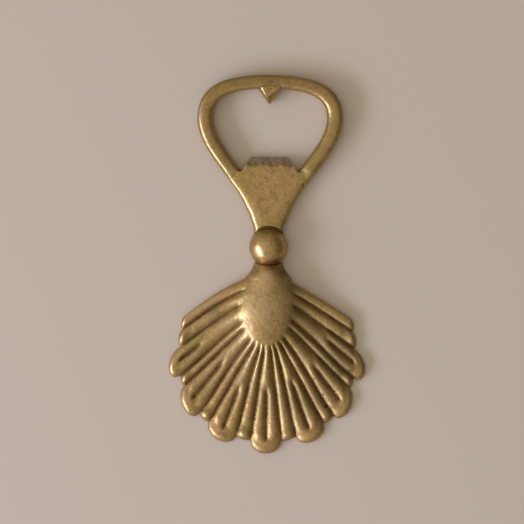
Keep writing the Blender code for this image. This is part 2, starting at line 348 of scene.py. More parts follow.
def half_line():
    """Points, outward directions and rod widths from the crown to the ball on the right side."""
    crown = Vector((0, loop_high.y - CROWN_ROD / 2))
    flank = Vector((loop_high.x - FLANK_ROD / 2, ball_y + FLANK_ABOVE_BALL))
    arm = Vector((ARM_X, ball_y + ARM_ABOVE_BALL))
    foot = Vector((FOOT_X, ball_y + ball_radius + FOOT_GAP))
    up_arm = Vector((math.sin(ARM_SLANT), math.cos(ARM_SLANT)))
    up_foot = Vector((math.sin(FOOT_SLANT), math.cos(FOOT_SLANT)))
    spans = (
        (crown, crown + Vector((CROWN_FLATNESS, 0)), flank + Vector((0, SHOULDER_FULLNESS)), flank),
        (flank, flank - Vector((0, FLANK_FULLNESS)), arm + up_arm * ARM_STRAIGHT, arm),
        (arm, arm - up_arm * ARM_TURN, foot + up_foot * FOOT_TURN, foot),
    )
    widths = (CROWN_ROD, FLANK_ROD, ARM_ROD, FOOT_ROD)
    points = []
    thick = []
    for i, span in enumerate(spans):
        part = interpolate_bezier(*span, CURVE_STEPS)
        for k, point in enumerate(part[: None if i == 2 else -1]):
            points.append((point.x, point.y))
            share = smooth_step(k / (CURVE_STEPS - 1))
            thick.append(widths[i] + (widths[i + 1] - widths[i]) * share)
    points = np.array(points)
    along = np.gradient(points, axis=0)
    along[0] = (1, 0)
    along /= np.linalg.norm(along, axis=1)[:, None]
    outward = np.stack([-along[:, 1], along[:, 0]], axis=1)
    return points, outward, np.array(thick)


line, outward, rod_width = half_line()
outer_edge = line + outward * rod_width[:, None] / 2
print(f"half of the bow: {np.linalg.norm(np.diff(line, axis=0), axis=1).sum():.1f} mm of rod")

# %% [markdown]
# The section is a superellipse: the same formula as a circle, but with a higher power, which flattens the
# top and tightens the shoulders. Its lower half is cut off by the table. Below the mouth the rod sinks
# into the web, so there its top comes down step by step and only its outer side still shows. Over the
# crown the section is squarer and leans the other way, as if it had been pressed from outside.

# %% The section of the rod
ROD_AXIS = 2.1
ROD_SIDES = 40
ROD_SQUARENESS = 2.4
ROD_LEAN = 0.10  # how much higher the outer shoulder of the rod is than the inner one
CROWN_LEAN = -0.15  # over the crown it is the inner shoulder that is higher
CROWN_SQUARENESS = 3.3
UNDERHANG = 0.35  # how far the lower half would reach below the table, if it weren't cut off
SINK_TOP = 31.0  # below this the rod sinks into the web
SINK_LENGTH = 6.5
SUNK_HEIGHT = 3.0


def section(half_width, height, axis, squareness, sides, lean=0.0):
    """A squared oval with a flat bottom, as (offset across, height) pairs."""
    points = []
    for k in range(sides):
        turn = 2 * math.pi * k / sides
        across = math.copysign(abs(math.cos(turn)) ** (2 / squareness), math.cos(turn))
        up = math.copysign(abs(math.sin(turn)) ** (2 / squareness), math.sin(turn))
        reach = (height - axis) * (1 + lean * across - lean**2) if up > 0 else axis + UNDERHANG
        points.append((across * half_width, max(axis + up * reach, 0.0)))
    return points


def rod_height(y):
    """The rod is full height round the mouth and sinks into the web below it."""
    sunk = smooth_step((SINK_TOP - y) / SINK_LENGTH)
    return loop_high.z + (SUNK_HEIGHT - loop_high.z) * sunk


def bow_rings():
    right = []
    for (x, y), (out_x, out_y), width in zip(line, outward, rod_width):
        crown = max(out_y, 0.0) ** 2
        lean = ROD_LEAN + (CROWN_LEAN - ROD_LEAN) * crown
        squareness = ROD_SQUARENESS + (CROWN_SQUARENESS - ROD_SQUARENESS) * crown
        oval = section(width / 2, rod_height(y), ROD_AXIS, squareness, ROD_SIDES, lean)
        right.append([(x + out_x * off, y + out_y * off, z) for off, z in oval])
    left = [[(-x, y, z) for x, y, z in ring] for ring in right[:0:-1]]
    return left + right


print("sections along the bow:", len(bow_rings()))

# %% [markdown]
# ## The web and the prying lip
#
# Between the arms the metal closes to a web. Its face is nearly flat in the middle and rolls over towards
# both sides, so it too is a stack of squared ovals, one above the other from the ball up to the mouth.
# The lip continues the same face into the mouth, narrows towards its edge and is filed to a slope there,
# so that it slips under a cap. The slope was filed by hand, so its length wanders a little.

# %% The face of the web
WEB_TOP = web_high.z
WEB_AXIS = 1.3
WEB_SQUARENESS = 3.0  # at the ball
MOUTH_SQUARENESS = 4.8  # at the mouth
SQUARE_FROM = 14  # the section grows squarer from here
SQUARE_OVER = 12  # and over this length
NOTCH_Y = 29.4
FACE_SIDES = 64
FACE_STEP = 0.25
arm_rows = np.where(line[:, 1] < NOTCH_Y + 6)[0]


def web_half_width(y):
    edge = outer_edge[arm_rows][::-1]
    return float(np.interp(y, edge[:, 1], edge[:, 0]))


def web_squareness(y):
    """The rolled sides stay equally narrow while the web widens, so its section gets squarer."""
    gain = MOUTH_SQUARENESS - WEB_SQUARENESS
    return WEB_SQUARENESS + gain * smooth_step((y - SQUARE_FROM) / SQUARE_OVER)


def web_rings():
    rings = []
    for y in np.arange(ball_y + 1.0, NOTCH_Y, FACE_STEP):
        oval = section(web_half_width(y), WEB_TOP, WEB_AXIS, web_squareness(y), FACE_SIDES)
        rings.append([(x, y, z) for x, z in oval])
    return rings


# %% The prying lip
LIP_EDGE = web_high.y
LIP_HALF_WIDTH = 5.9
LIP_FLARE = math.tan(math.radians(34))
LIP_BEVEL = 3.1
LIP_EDGE_THICKNESS = 1.7
LIP_LINES = 24
LIP_STEP = 0.2


def lip_rings():
    """Sections across the lip, from below the notch up to its edge."""
    rings = []
    for y in np.append(np.arange(NOTCH_Y - 3.0, LIP_EDGE, LIP_STEP), LIP_EDGE):
        half = LIP_HALF_WIDTH + (LIP_EDGE - max(y, NOTCH_Y + LIP_STEP)) * LIP_FLARE
        full = web_half_width(min(y, NOTCH_Y))
        top = []
        for k in range(LIP_LINES + 1):
            x = half * (2 * k / LIP_LINES - 1)
            length = LIP_BEVEL * (1 + 0.10 * math.sin(1.1 * x + 0.6) + 0.07 * math.sin(2.9 * x))
            filed = LIP_EDGE_THICKNESS + (LIP_EDGE - y) * (WEB_TOP - LIP_EDGE_THICKNESS) / length
            roll = (1 - (abs(x) / full) ** MOUTH_SQUARENESS) ** (1 / MOUTH_SQUARENESS)
            top.append((x, y, min(WEB_AXIS + (WEB_TOP - WEB_AXIS) * roll, filed)))
        bottom = [(x, y, 0.0) for x, _, _ in reversed(top)]
        rings.append(top + bottom)
    return rings


head = bmesh.new()
skin_rings(head, bow_rings())
skin_rings(head, web_rings())
skin_rings(head, lip_rings())
head_mesh = cast("head", head, grain=0.2, softening=5, unevenness=0.16, unevenness_size=3.2)

# %% [markdown]
# Years of use leave small dents, and the casting has a few pits of its own. Each one is a soft pit that is
# pushed into the skin along the direction the skin faces. Three larger ones sit on the right edge of the
# web, on the inside of the left arm and beside the lip. The rest are scattered by a seeded random
# generator, so they come out the same every time.


# %% Dents and pits
def dent(mesh, spots):
    """Pushes a soft pit into the skin for every (x, y, radius, depth)."""
    points = read_points(mesh)
    normals = read_normals(mesh)
    up = np.clip(normals[:, 2], 0, 1) ** 0.5
    push = np.zeros(len(points))
    for x, y, radius, depth in spots:
        near = ((points[:, 0] - x) ** 2 + (points[:, 1] - y) ** 2) / radius**2
        push = np.maximum(push, depth * np.exp(-near) * up)
    write_points(mesh, points - normals * push[:, None])


def scattered_pits(seed, count, low, high):
    """Small random pits over a rectangle of the face."""
    rng = np.random.default_rng(seed)
    spots = []
    for _ in range(count):
        x, y = rng.uniform(low.x, high.x), rng.uniform(low.y, high.y)
        radius = rng.uniform(0.15, 0.36)
        spots.append((x, y, radius, radius * rng.uniform(0.08, 0.35)))
    return spots


def lip_chips(seed, count):
    """The marks that caps have left on the slope of the lip."""
    rng = np.random.default_rng(seed)
    chips = []
    for _ in range(count):
        x = rng.uniform(-LIP_HALF_WIDTH - 1, LIP_HALF_WIDTH + 1)
        y = LIP_EDGE - LIP_BEVEL * rng.uniform(0.05, 1.0)
        chips.append((x, y, rng.uniform(0.3, 0.8), rng.uniform(0.03, 0.14)))
    return chips


head_pits = [(10.95, 25.3, 0.42, 0.7), (-17.55, 43.4, 0.4, 0.45), (-8.6, 30.2, 0.5, 0.2)]
head_pits += scattered_pits(3, 60, Vector((loop_low.x, web_low.y)), Vector((loop_high.x, loop_high.y)))
head_pits += lip_chips(5, 70)
dent(head_mesh, head_pits)
print("pits on the head:", len(head_pits))

# %% [markdown]
# The web dips into a narrow crease where it meets the ball. The crease runs round the ball, so it is
# pressed in by distance from the ball's middle.

# %% The crease round the ball
CREASE_DEPTH = 0.5
CREASE_WIDTH = 0.4
CREASE_GAP = 0.1  # the deepest line lies this far outside the ball


def press_crease(mesh):
    points = read_points(mesh)
    away = np.hypot(points[:, 0], points[:, 1] - ball_y) - ball_radius
    face = np.clip((points[:, 2] - 1.0) / 1.5, 0, 1) * (points[:, 1] > ball_y)
    points[:, 2] -= CREASE_DEPTH * np.exp(-(((away - CREASE_GAP) / CREASE_WIDTH) ** 2)) * face
    write_points(mesh, points)


press_crease(head_mesh)

# %% [markdown]
# The bow and the web are one casting, but they are kept as two pieces that meet in a clean cut across each
# arm, a little above the web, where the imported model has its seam. Cutting the finished skin keeps the
# soft fillets on both sides. Each cut is made only through the faces close to that arm, the skin is
# divided along it, and both ends are closed.


# %% Cutting the head in two
CUT_ABOVE_NOTCH = 0.9
CUT_ALONG = 1.0  # only faces this near the cut are divided
CUT_ACROSS = 3.4
notch_row = next(i for i, (x, y) in enumerate(line) if y < NOTCH_Y - 0.6)


def cut_arm(bm, side):
    centre = Vector((side * line[notch_row][0], line[notch_row][1], ROD_AXIS))
    out = Vector((side * outward[notch_row][0], outward[notch_row][1], 0))
    up_arm = Vector((side * math.sin(ARM_SLANT), math.cos(ARM_SLANT), 0))
    centre += up_arm * CUT_ABOVE_NOTCH
    faces = []
    for face in bm.faces:
        away = face.calc_center_median() - centre
        if abs(away.dot(up_arm)) < CUT_ALONG and abs(away.dot(out)) < CUT_ACROSS:
            faces.append(face)
    geometry = set(faces)
    for face in faces:
        geometry.update(face.edges)
        geometry.update(face.verts)
    cut = bmesh.ops.bisect_plane(bm, geom=list(geometry), dist=1e-6, plane_co=centre, plane_no=up_arm)
    seam = [item for item in cut["geom_cut"] if isinstance(item, bmesh.types.BMEdge)]
    bmesh.ops.split_edges(bm, edges=seam)


def keep_part(mesh, name, at_crown):
    bm = bmesh.new()
    bm.from_mesh(mesh)
    for side in (1, -1):
        cut_arm(bm, side)
    crown = max(bm.verts, key=lambda vert: vert.co.y)
    bow_verts = connected_to(bm, crown)
    unwanted = [vert for vert in bm.verts if (vert in bow_verts) != at_crown]
    bmesh.ops.delete(bm, geom=unwanted, context="VERTS")
    open_edges = [edge for edge in bm.edges if edge.is_boundary]
    caps = bmesh.ops.holes_fill(bm, edges=open_edges, sides=0)["faces"]
    bmesh.ops.triangulate(bm, faces=caps)
    still_open = sum(edge.is_boundary for edge in bm.edges)
    made = bpy.data.meshes.new(name)
    bm.to_mesh(made)
    bm.free()
    print(f"{name}: {len(made.polygons)} faces, {len(caps)} caps, {still_open} open edges")
    return made


bow_mesh = keep_part(head_mesh, "bow", True)
web_mesh = keep_part(head_mesh, "web", False)

# %% [markdown]
# Where caps have scraped the brass again and again, it is dull grey instead of yellow. That is the filed
# slope of the lip, and also the outer rim of the bow's left shoulder, where the hand never reaches.


# %% Grey places
GREY_RIM_Y = 48.5
GREY_RIM_LENGTH = 4.5


def grey_on_lip(mesh):
    down = LIP_EDGE - read_points(mesh)[:, 1]
    return np.clip(1.25 - down / LIP_BEVEL, 0, 1)


def grey_on_rim(mesh):
    points = read_points(mesh)
    normals = read_normals(mesh)
    outer = np.clip(-normals[:, 0] * 1.6 - 0.45, 0, 1) * (points[:, 0] < 0)
    level = np.exp(-(((points[:, 1] - GREY_RIM_Y) / GREY_RIM_LENGTH) ** 2))
    return outer * level


print(f"grey on the lip: {(grey_on_lip(web_mesh) > 0.5).sum()} points")

# %% [markdown]
# ## The tooth
#
# The tooth is a small wedge that points into the mouth. Seen from above it is a triangle whose face runs
# out over the bow and sinks into it. Its left side is a narrow ridge, and its right side falls off in a
# steep step. It is skinned from five levels of one six-cornered plan, each smaller than the one below.

# %% The tooth
TOOTH_LEVELS = (
    # height at the tip, height at the back, tip above the lowest, tip x, left x, right x
    (0.6, 0.6, 0.35, -0.3, -3.5, 3.1),
    (1.3, 1.3, 0.0, -0.3, -4.1, 3.5),
    (2.9, 2.9, 0.15, -0.35, -4.0, 3.5),
    (3.9, 3.8, 0.8, -0.6, -3.5, 3.35),
    (5.0, 4.35, 1.9, -1.0, -2.6, 3.1),
)
TOOTH_CORNER = 55.9  # where the two side corners lie along the opener
TOOTH_BACK_LEFT = 0.3  # width of the back as a share of the width at the corners
TOOTH_BACK_RIGHT = 0.95
TOOTH_TIP_HALF = 0.25


def tooth_rings():
    rings = []
    for tip_z, back_z, tip_rise, tip_x, left, right in TOOTH_LEVELS:
        tip, back = tooth_low.y + tip_rise, tooth_high.y
        corner_z = tip_z + (back_z - tip_z) * (TOOTH_CORNER - tip) / (back - tip)
        rings.append(
            [
                (tip_x - TOOTH_TIP_HALF, tip, tip_z),
                (tip_x + TOOTH_TIP_HALF, tip, tip_z),
                (right, TOOTH_CORNER, corner_z),
                (right * TOOTH_BACK_RIGHT, back, back_z),
                (left * TOOTH_BACK_LEFT, back, back_z),
                (left, TOOTH_CORNER, corner_z),
            ]
        )
    return rings


tooth_skin = bmesh.new()
skin_rings(tooth_skin, tooth_rings())
tooth_mesh = cast("tooth", tooth_skin, grain=0.11, softening=5, unevenness=0.14, unevenness_size=1.2)
dent(tooth_mesh, [(0.2, 55.5, 0.3, 0.2), (-0.6, 54.9, 0.2, 0.15)])

# %% [markdown]
# ## The ball
#
# The ball is a cast ball, so it isn't quite true: its skin sways by a tenth of a millimetre and has a few
# pits. It starts from a fine icosphere, which has no poles to pinch the highlight, and everything below
# the table is cut away.

# %% The ball
BALL_FINENESS = 6


def ball_skin():
    bm = bmesh.new()
    bmesh.ops.create_icosphere(bm, subdivisions=BALL_FINENESS, radius=ball_radius)
    bmesh.ops.translate(bm, verts=bm.verts, vec=(0, ball_y, ball_z))
    geometry = bm.verts[:] + bm.edges[:] + bm.faces[:]
    bmesh.ops.bisect_plane(bm, geom=geometry, plane_co=(0, 0, 0), plane_no=(0, 0, -1), clear_outer=True)
    bmesh.ops.holes_fill(bm, edges=[edge for edge in bm.edges if edge.is_boundary], sides=0)
    return bm


ball_mesh = cast("ball", ball_skin(), grain=0.17, softening=3, unevenness=0.10, unevenness_size=2.4)
ball_pits = [(1.1, 6.4, 0.35, 0.12), (2.6, 7.8, 0.3, 0.1), (-0.6, 3.4, 0.3, 0.08), (3.3, 4.4, 0.35, 0.1)]
dent(ball_mesh, ball_pits)

# %% [markdown]
# ## The shell
#
# The handle is a scallop shell of seventeen elements. Seven broad lobes take turns with eight narrow ribs,
# and the two outermost are plain. Near the dome each element is one rounded ridge of about the same
# width. Halfway out, a groove opens in every broad lobe and divides it into two ridges, which meet again
# in a fingertip round the groove's end. The narrow ribs stay single and end in a small knob.
#
# The fan is laid out with lines that fan out from the long axis. Along each line the height is worked out
# from where the point lies across its own element and how far out it is, so every ridge, groove and tip
# is real relief.

# %% The plan of the fan
NECK_TOP = shell_high.y
FAN_FOCUS = NECK_TOP - 11.0  # the rim is laid out round this point of the long axis
ROOT_LOW = 17.7
ROOT_HIGH = 1.3
ROOT_TURN = math.radians(25)
# One half of the fan, from the middle out. Each element has its kind, the angle of its outer edge at the
# rim and near the dome, the radius of that edge, and how far its tip bulges out.
FAN_HALF = (
    ("lobe", 6.3, 6.0, 44.7, 4.1),
    ("rib", 12.4, 14.0, 44.2, 0.6),
    ("lobe", 25.1, 25.3, 42.9, 3.7),
    ("rib", 30.4, 33.0, 42.1, 0.6),
    ("lobe", 43.6, 44.2, 38.0, 3.6),
    ("rib", 48.4, 50.8, 36.5, 0.6),
    ("lobe", 61.1, 61.8, 31.1, 4.4),
    ("rib", 70.1, 70.3, 28.5, 1.2),
    ("smooth", 78.4, 78.4, 26.7, 0.9),
)
LAST_ANGLE = math.radians(FAN_HALF[-1][1])


def fan_elements():
    """Every element from left to right, as (kind, left edge, right edge, bulge).

    An edge is (angle at the rim, angle near the dome, radius).
    """
    _, rim, dome, radius, _ = FAN_HALF[0]
    inner = (-math.radians(rim), -math.radians(dome), radius)
    right = []
    for kind, rim, dome, radius, bulge in FAN_HALF:
        outer = (math.radians(rim), math.radians(dome), radius)
        right.append((kind, inner, outer, bulge))
        inner = outer
    left = []
    for kind, inner, outer, bulge in reversed(right[1:]):
        mirrored = [(-edge[0], -edge[1], edge[2]) for edge in (outer, inner)]
        left.append((kind, *mirrored, bulge))
    return left + right


def rim_point(angle, radius):
    return Vector((math.sin(angle) * radius, FAN_FOCUS - math.cos(angle) * radius))


def root_point(angle):
    """Where a line of the fan meets the long axis. The outer lines start nearer the ball."""
    turn = max(0.0, (abs(angle) - ROOT_TURN) / (LAST_ANGLE - ROOT_TURN))
    return Vector((0, NECK_TOP - ROOT_LOW + (ROOT_LOW - ROOT_HIGH) * turn**1.3))


print("elements of the fan:", len(fan_elements()))

# %% [markdown]
# In the middle the shell swells to a dome, which runs on into the neck. Its sizes are a short table down
# the long axis. Beyond its boundary the swelling fades out in a long soft slope, so that the crests of the
# ribs rise to the dome without a step. How far out a point lies is told by one number, which is 0 on the
# axis of the dome and 1 on its boundary.

# %% The swelling in the middle
# Distance below the top of the neck, half width at the table, height of the crest.
DOME = np.array(
    (
        (-3.0, 3.8, 3.0),
        (-0.3, 4.6, 3.7),
        (0.5, 4.85, 5.4),
        (1.5, 5.2, 6.4),
        (3.3, 6.6, 6.95),
        (5.8, 9.4, 7.3),
        (8.5, 11.8, 7.6),
        (11.0, 12.4, 7.9),
        (16.3, 12.4, 8.05),
    )
)
DOME_MIDDLE = 12.5
DOME_TAIL = 13.2
DOME_DRIFT = 0.5  # the lower end of the dome lies this far to the left
DOME_BOUNDARY = 0.66  # the boundary as a share of the half width at the table
DOME_FALL = 0.29  # how much of its height the dome loses from its axis to its boundary
SOFT_REACH = 1.4


def soft_read(distance, column):
    """Reads a column of the dome's sizes, averaged over a few millimetres so that it has no corners."""
    around = np.linspace(-SOFT_REACH, SOFT_REACH, 9)
    return float(np.interp(distance + around, DOME[:, 0], DOME[:, column]).mean())


def dome_share(x, y):
    down = NECK_TOP - y
    half_width = DOME_BOUNDARY * soft_read(min(down, DOME_MIDDLE), 1)
    across = x + DOME_DRIFT * smooth_step((down - 8) / 8)
    return math.hypot(across / half_width, max(0.0, down - DOME_MIDDLE) / DOME_TAIL)


def swelling(x, y, base):
    """Height of the crests at a point: the dome inside its boundary, a fading slope outside."""
    top = soft_read(min(NECK_TOP - y, DOME_MIDDLE), 2)
    away = dome_share(x, y)
    if away < 1:
        return top * (1 - DOME_FALL * away**2)
    rest = top * (1 - DOME_FALL) - base
    return base + rest * math.exp(-(away - 1) * 2 * DOME_FALL * top / rest)


# %% [markdown]
# The relief of the fan is cut into that. Valleys lie below the crests by a depth that grows outward.
# Across an element, the ridge is a half ellipse, or two of them side by side where the groove is open. At
# the rim everything rolls over in a quarter round.

# %% The relief of the fan
RIB_RIM_HEIGHT = 2.3
RIB_BASE_RISE = 0.1
RIM_EDGE = 0.45
RIM_ROUND = 2.0
VALLEY_AT_DOME = 1.3
VALLEY_AT_RIM = 1.55
VALLEY_OPENING = 0.90  # where the valleys begin, as a share of the way to the dome's boundary
VALLEY_RUN_IN = 0.26
GROOVE_DEPTH = 0.70
# Element number, counted from the left, and how far out its groove starts.
GROOVE_STARTS = {2: 0.62, 4: 0.46, 6: 0.50, 8: 0.46, 10: 0.45, 12: 0.49, 14: 0.55}
GROOVE_RUN_IN = 0.12
GROOVE_END = 4.4
SHARP_RIDGE = 1.15
FULL_RIDGE = 0.68
RIB_FULLNESS = 0.92  # a rib stands a little lower than a lobe


def ridge(place, share):
    """Height share of one ridge: 1 on its crest, 0 in the valleys at -1 and 1. Fuller towards the rim."""
    fullness = SHARP_RIDGE + (FULL_RIDGE - SHARP_RIDGE) * smooth_step((share - 0.35) / 0.5)
    return max(0.0, 1 - place * place) ** fullness


def relief(kind, place, share, from_rim, outside, spot, groove_start):
    """Height of the fan at one point, before its rim rolls over."""
    crest = swelling(spot.x, spot.y, RIB_RIM_HEIGHT + RIB_BASE_RISE * (1 - share))
    depth = VALLEY_AT_DOME + (VALLEY_AT_RIM - VALLEY_AT_DOME) * smooth_step((share - 0.25) / 0.75)
    depth *= smooth_step((dome_share(spot.x, spot.y) - VALLEY_OPENING) / VALLEY_RUN_IN)
    valley = crest - depth
    if kind == "smooth":
        if outside > 0:
            return RIM_EDGE + (crest - RIM_EDGE) * math.sqrt(max(0.0, 1 - outside**3.2))
        return valley + depth * (1 - abs(outside) ** 3.0) ** 0.7
    if kind == "rib":
        knob = 0.25 * bell(from_rim - 1.9, 1.1) - 0.18 * bell(from_rim - 4.6, 1.3)
        return valley + (depth * RIB_FULLNESS + knob) * ridge(place, share)
    opening = smooth_step((share - groove_start) / GROOVE_RUN_IN)
    opening *= smooth_step((from_rim - GROOVE_END) / 2.2 + 0.5)
    single = ridge(place, share)
    twin = ridge(2 * abs(place) - 1, share)
    floor = (1 - GROOVE_DEPTH) * (1 - smooth_step(abs(place) / 0.5))
    double = max(twin, floor)
    return valley + depth * (single + (double - single) * opening)


# %% The skin of the fan
LOBE_LINES = 34
RIB_LINES = 18
STATIONS = 130
FAN_START = 0.1
# The two outermost elements are bowed up a little between dome and rim, the left ones more.
BOW_LEFT = 1.45
BOW_RIGHT = 0.4
BOW_FROM = math.radians(52)
BOW_OVER = math.radians(24)


def bowed(spot, along, angle, share):
    turn = smooth_step((abs(angle) - BOW_FROM) / BOW_OVER)
    most = BOW_LEFT if angle < 0 else BOW_RIGHT
    up = Vector((-along.y, along.x)) if along.x > 0 else Vector((along.y, -along.x))
    return spot + up * most * turn * math.sin(math.pi * share)


def fan_lines():
    """Each line of the fan as a list of (x, y, height) from root to rim."""
    lines = []
    elements = fan_elements()
    for number, (kind, first, second, bulge) in enumerate(elements):
        count = LOBE_LINES if kind == "lobe" else RIB_LINES
        for k in range(count + (number == len(elements) - 1)):
            place = 2 * k / count - 1
            share_across = k / count
            rim_angle, dome_angle, radius = (
                a + (b - a) * share_across for a, b in zip(first, second)
            )
            radius += bulge * math.sqrt(max(0.0, 1 - place * place))
            outside = place * math.copysign(1, rim_angle) if kind == "smooth" else -1
            points = []
            for step in range(STATIONS + 1):
                share = FAN_START + (1 - FAN_START) * (1 - (1 - step / STATIONS) ** 1.15)
                turned = dome_angle + (rim_angle - dome_angle) * smooth_step((share - 0.3) / 0.6)
                rim = rim_point(turned, radius)
                root = root_point(turned)
                from_rim = (rim - root).length * (1 - share)
                spot = bowed(root.lerp(rim, share), (rim - root).normalized(), turned, share)
                groove_start = GROOVE_STARTS.get(number, 1.0)
                height = relief(kind, place, share, from_rim, outside, spot, groove_start)
                near = min(from_rim / RIM_ROUND, 1.0)
                height = RIM_EDGE + (height - RIM_EDGE) * math.sqrt(1 - (1 - near) ** 2)
                points.append((spot.x, spot.y, height))
            lines.append(points)
    return lines


def skin_fan(bm, lines):
    tops = [[bm.verts.new(point) for point in points] for points in lines]
    floors = [[bm.verts.new((x, y, 0)) for x, y, _ in points] for points in lines]
    for row, following, low, low_following in zip(tops, tops[1:], floors, floors[1:]):
        for k in range(len(row) - 1):
            bm.faces.new((row[k], row[k + 1], following[k + 1], following[k]))
            bm.faces.new((low[k], low_following[k], low_following[k + 1], low[k + 1]))
        for k in (0, -1):
            bm.faces.new((row[k], following[k], low_following[k], low[k]))
    for top, floor in ((tops[0], floors[0]), (tops[-1], floors[-1])):
        for k in range(len(top) - 1):
            bm.faces.new((top[k], top[k + 1], floor[k + 1], floor[k]))


# %% [markdown]
# The lines of the fan start a little off the long axis, so a spine closes the middle with the same
# swelling. The neck is a stack of ovals. It is narrow under the ball and pinched by a groove there.

# %% The spine and the neck
NECK_SIDES = 72
NECK_END = 11.0
NECK_STEP = 0.3
SINK_START = 3.5  # how far below its top the neck begins to shrink
SPINE_FIRST = 5.0  # the spine runs from here to the last, measured below the top of the neck
SPINE_LAST = 23.2
SPINE_STEP = 0.4
SPINE_LINES = 24
SPINE_HALF = 4.2
SPINE_SHARE = 0.84  # the spine stays inside the boundary of the dome, so it fills no valley


def neck_rings():
    """Ovals that set the outline of the neck and then shrink away under the dome."""
    rings = []
    for distance in np.arange(DOME[0, 0], NECK_END, NECK_STEP):
        sunk = smooth_step((distance - SINK_START) / 5)
        half_width = soft_read(distance, 1) * (1 - 0.5 * sunk)
        oval = section(half_width, soft_read(distance, 2) - 0.25 * sunk, 0.0, 2.0, NECK_SIDES)
        rings.append([(x, NECK_TOP - distance, z) for x, z in oval])
    return rings


def spine_rings():
    """Sections across the dome that close the middle of the fan."""
    rings = []
    for distance in np.arange(SPINE_FIRST, SPINE_LAST, SPINE_STEP):
        y = NECK_TOP - distance
        tail = max(0.0, distance - DOME_MIDDLE) / DOME_TAIL
        inside = DOME_BOUNDARY * soft_read(DOME_MIDDLE, 1) * math.sqrt(SPINE_SHARE**2 - tail**2)
        half = min(SPINE_HALF, inside)
        across = [half * (2 * k / SPINE_LINES - 1) for k in range(SPINE_LINES + 1)]
        top = [(x, y, swelling(x, y, RIB_RIM_HEIGHT + RIB_BASE_RISE)) for x in across]
        rings.append(top + [(x, y, 0.0) for x in reversed(across)])
    return rings


shell_skin = bmesh.new()
skin_fan(shell_skin, fan_lines())
skin_rings(shell_skin, spine_rings())
skin_rings(shell_skin, neck_rings())
shell_mesh = cast("shell", shell_skin, grain=0.2, softening=3, unevenness=0.14, unevenness_size=3.0)

# %% [markdown]
# The shell has its own pits and nicks: a scatter of small ones over the ribs, and one deeper nick in a
# ridge on the right, near the rim.

# %% Pits on the shell
shell_pits = [(18.9, -44.7, 0.45, 0.5), (17.9, -41.2, 0.3, 0.3), (2.3, -17.5, 0.3, 0.12)]
shell_pits += scattered_pits(11, 140, Vector((shell_low.x, shell_low.y)), Vector((shell_high.x, -8)))
dent(shell_mesh, shell_pits)

# %% [markdown]
# All five castings are ready, so now each one is finished, with grime and painted shade where it meets its
# neighbours. The bow is browner than the rest, and shade is painted on the back of its crown. The shell has
# a few dark stains where the brass was left wet, broad painted shade over its right half, which faces away
# from the light, and painted shade round the neck under the ball. Highlights are painted on the inner edge
# of the crown, the neck, the dome and the left side of the fan.

# %% Grime, painted shade and painted highlights on the pieces
BALL_GRIME_AND_SHADE_REACH = 0.5
TOOTH_GRIME_AND_SHADE_REACH = 0.3
BOW_GRIME = 0.13
CROWN_SHADE = 0.42
CROWN_FROM = 48  # the crown's brown skin and its painted shade begin here along the opener
CROWN_HIGHLIGHT_FROM = 44
SHELL_DULLNESS = 0.11
# dark spots on the shell: the small ones are stains, and the broad ones on the right half and round the
# neck under the ball are painted shade
STAINS_AND_PAINTED_SHADE = (
    # x, y, radius, strength
    (11.1, -33.3, 3.2, 0.55),
    (17.9, -43.0, 2.4, 0.6),
    (-16.6, -14.9, 2.6, 0.45),
    (9.4, -14.8, 3.0, 0.55),
    (22.0, -30.0, 11.0, 0.64),
    (4.8, -2.2, 2.4, 0.8),
    (-4.6, -1.8, 1.7, 0.45),
    (7.6, -7.0, 2.4, 0.5),
    (14.0, -21.0, 6.5, 0.48),
    (12.0, -42.0, 9.0, 0.56),
    (2.0, -42.0, 10.0, 0.30),
    (-1.0, -21.0, 3.5, 0.16),
    (-24.0, -38.0, 6.0, 0.14),
)
# places on the shell where a highlight is painted: the neck, the dome, and the left side of the fan, which
# faces the light
PAINTED_HIGHLIGHTS = (
    # x, y, radius, strength
    (-0.8, -6.0, 4.5, 0.75),
    (-0.8, -13.5, 7.0, 0.6),
    (-11.0, -24.0, 8.5, 0.6),
    (-19.0, -34.0, 8.0, 0.35),
    (-20.0, -14.0, 7.0, 0.35),
    (-9.0, -36.0, 7.0, 0.35),
)


def soft_spots(mesh, spots):
    """A mask over the points of a mesh that is high in the spots and fades out round them."""
    points = read_points(mesh)
    mask = np.zeros(len(points))
    for x, y, radius, strength in spots:
        away = np.hypot(points[:, 0] - x, points[:, 1] - y)
        mask = np.maximum(mask, strength * np.exp(-((away / radius) ** 2)))
    return mask


# a highlight is painted along the inner edge of the crown, where it faces the light
def painted_crown_highlight(mesh):
    points, normals = read_points(mesh), read_normals(mesh)
    inner_edge = np.clip((-normals[:, 1] - 0.55) / 0.3, 0, 1)
    return np.clip((points[:, 1] - CROWN_HIGHLIGHT_FROM) / 5, 0, 1) * inner_edge


# the whole bow is browner, and shade is painted on the back of its crown, which faces away from the light
def browned_with_crown_shade(mesh):
    points, normals = read_points(mesh), read_normals(mesh)
    crown = np.clip((points[:, 1] - CROWN_FROM) / 6, 0, 1) * np.clip(normals[:, 1] + 0.15, 0, 1)
    return BOW_GRIME + (CROWN_SHADE - BOW_GRIME) * crown


# %% The five pieces
# round the ball and the tooth the pieces are darkened: partly grime in the joint, partly painted shade
web_grime_and_shade = near_neighbour(web_mesh, ball_mesh, BALL_GRIME_AND_SHADE_REACH)
shell_grime_and_shade = np.maximum(
    near_neighbour(shell_mesh, ball_mesh, BALL_GRIME_AND_SHADE_REACH), soft_spots(shell_mesh, STAINS_AND_PAINTED_SHADE)
)
shell_painted_highlight = soft_spots(shell_mesh, PAINTED_HIGHLIGHTS)
ball_grime_and_shade = np.maximum(
    near_neighbour(ball_mesh, web_mesh, BALL_GRIME_AND_SHADE_REACH), near_neighbour(ball_mesh, shell_mesh, BALL_GRIME_AND_SHADE_REACH)
)
